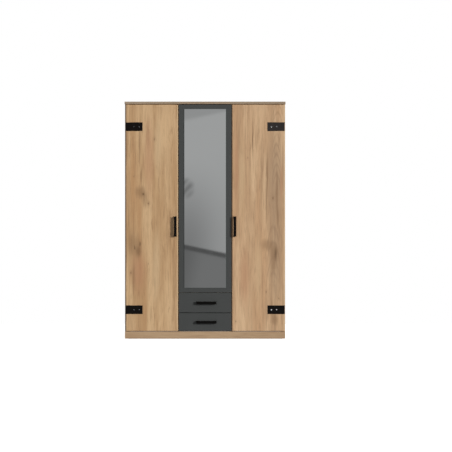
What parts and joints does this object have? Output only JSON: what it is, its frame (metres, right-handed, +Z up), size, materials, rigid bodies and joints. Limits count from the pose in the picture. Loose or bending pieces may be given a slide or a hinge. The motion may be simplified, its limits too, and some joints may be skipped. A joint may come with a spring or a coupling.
{
  "type": "wardrobe with doors",
  "caption": "Free-standing wardrobe with wood-effect outer doors, a dark mirror door over drawers, black bow handles and ornamental strap plates.",
  "frame": {"origin": "on the floor, at the middle of the width and of the depth over the handles", "axes": "+X to the right seen from the front, +Y to the back, +Z up"},
  "size_m": [1.35, 0.608, 1.99],
  "materials": {
    "oak_board": "oak plank decor, satin melamine",
    "linen_board": "pale linen decor, matt melamine",
    "hardboard": "painted hardboard",
    "graphite_board": "graphite melamine, fine satin",
    "black_metal": "satin black powder coat",
    "nickel_steel": "nickel plated",
    "zinc_steel": "zinc plated",
    "chrome_tube": "bright chrome",
    "white_plastic": "moulded nylon",
    "mirror_glass": "silvered float glass"
  },
  "bodies": {
    "carcass": {"left_side": "oak_board", "right_side": "oak_board", "left_partition": "oak_board", "right_partition": "oak_board", "top_board": "oak_board", "bottom_board": "linen_board", "front_plinth": "oak_board", "plinth_braces": "linen_board", "left_back": "hardboard", "middle_back": "hardboard", "right_back": "hardboard", "fixed_shelf": "linen_board", "left_shelves": "linen_board", "middle_shelves": "linen_board", "hat_shelf": "linen_board", "clothes_rail": "chrome_tube", "rail_brackets": "chrome_tube", "shelf_pins": "zinc_steel", "cam_fittings": "zinc_steel", "floor_glides": "white_plastic", "wall_brackets": "zinc_steel", "hinge_arms": "nickel_steel", "hinge_plates": "nickel_steel", "hinge_screws": "zinc_steel", "slide_strips": "white_plastic", "latch_housing": "white_plastic"},
    "latch_plunger": {"latch_plunger": "white_plastic"},
    "left_door": {"left_door": "oak_board", "left_handle": "black_metal", "left_lower_strap": "black_metal", "left_upper_strap": "black_metal", "left_strap_screws": "black_metal", "left_door_screws": "zinc_steel", "left_hinge_cups": "nickel_steel"},
    "left_link": {"left_hinge_links": "nickel_steel"},
    "middle_door": {"middle_door": "graphite_board", "mirror_glass": "mirror_glass", "middle_door_screws": "zinc_steel", "middle_hinge_cups": "nickel_steel"},
    "middle_link": {"middle_hinge_links": "nickel_steel"},
    "right_door": {"right_door": "oak_board", "right_handle": "black_metal", "right_lower_strap": "black_metal", "right_upper_strap": "black_metal", "right_strap_screws": "black_metal", "right_door_screws": "zinc_steel", "right_hinge_cups": "nickel_steel"},
    "right_link": {"right_hinge_links": "nickel_steel"},
    "lower_drawer": {"lower_drawer_front": "graphite_board", "lower_drawer_sides": "linen_board", "lower_drawer_back": "linen_board", "lower_drawer_bottom": "hardboard", "lower_drawer_handle": "black_metal", "lower_drawer_screws": "zinc_steel"},
    "upper_drawer": {"upper_drawer_front": "graphite_board", "upper_drawer_sides": "linen_board", "upper_drawer_back": "linen_board", "upper_drawer_bottom": "hardboard", "upper_drawer_handle": "black_metal", "upper_drawer_screws": "zinc_steel"}
  },
  "joints": [
    {"name": "left_door_hinge", "type": "hinge", "parent": "carcass", "child": "left_door", "pos_m": [-0.663, -0.269, 1], "axis": [0, 0, -1], "range_deg": [0, 100]},
    {"name": "left_link_turn", "type": "hinge", "parent": "carcass", "child": "left_link", "pos_m": [-0.663, -0.269, 1], "axis": [0, 0, -1], "range_deg": [0, 50]},
    {"name": "middle_door_hinge", "type": "hinge", "parent": "carcass", "child": "middle_door", "pos_m": [-0.2155, -0.269, 1], "axis": [0, 0, -1], "range_deg": [0, 100]},
    {"name": "middle_link_turn", "type": "hinge", "parent": "carcass", "child": "middle_link", "pos_m": [-0.2155, -0.269, 1], "axis": [0, 0, -1], "range_deg": [0, 50]},
    {"name": "right_door_hinge", "type": "hinge", "parent": "carcass", "child": "right_door", "pos_m": [0.663, -0.269, 1], "axis": [0, 0, 1], "range_deg": [0, 100]},
    {"name": "right_link_turn", "type": "hinge", "parent": "carcass", "child": "right_link", "pos_m": [0.663, -0.269, 1], "axis": [0, 0, 1], "range_deg": [0, 50]},
    {"name": "lower_drawer_slide", "type": "slide", "parent": "carcass", "child": "lower_drawer", "axis": [0, -1, 0], "range_m": [0, 0.35]},
    {"name": "upper_drawer_slide", "type": "slide", "parent": "carcass", "child": "upper_drawer", "axis": [0, -1, 0], "range_m": [0, 0.35]},
    {"name": "latch_plunger_slide", "type": "slide", "parent": "carcass", "child": "latch_plunger", "axis": [0, -1, 0], "range_m": [0, 0.02]}
  ],
  "couplings": [
    {"joint": "left_link_turn", "follows": "left_door_hinge", "ratio": 0.5},
    {"joint": "middle_link_turn", "follows": "middle_door_hinge", "ratio": 0.5},
    {"joint": "right_link_turn", "follows": "right_door_hinge", "ratio": 0.5},
    {"joint": "latch_plunger_slide", "follows": "middle_door_hinge", "m_per_rad": 0.0114}
  ]
}
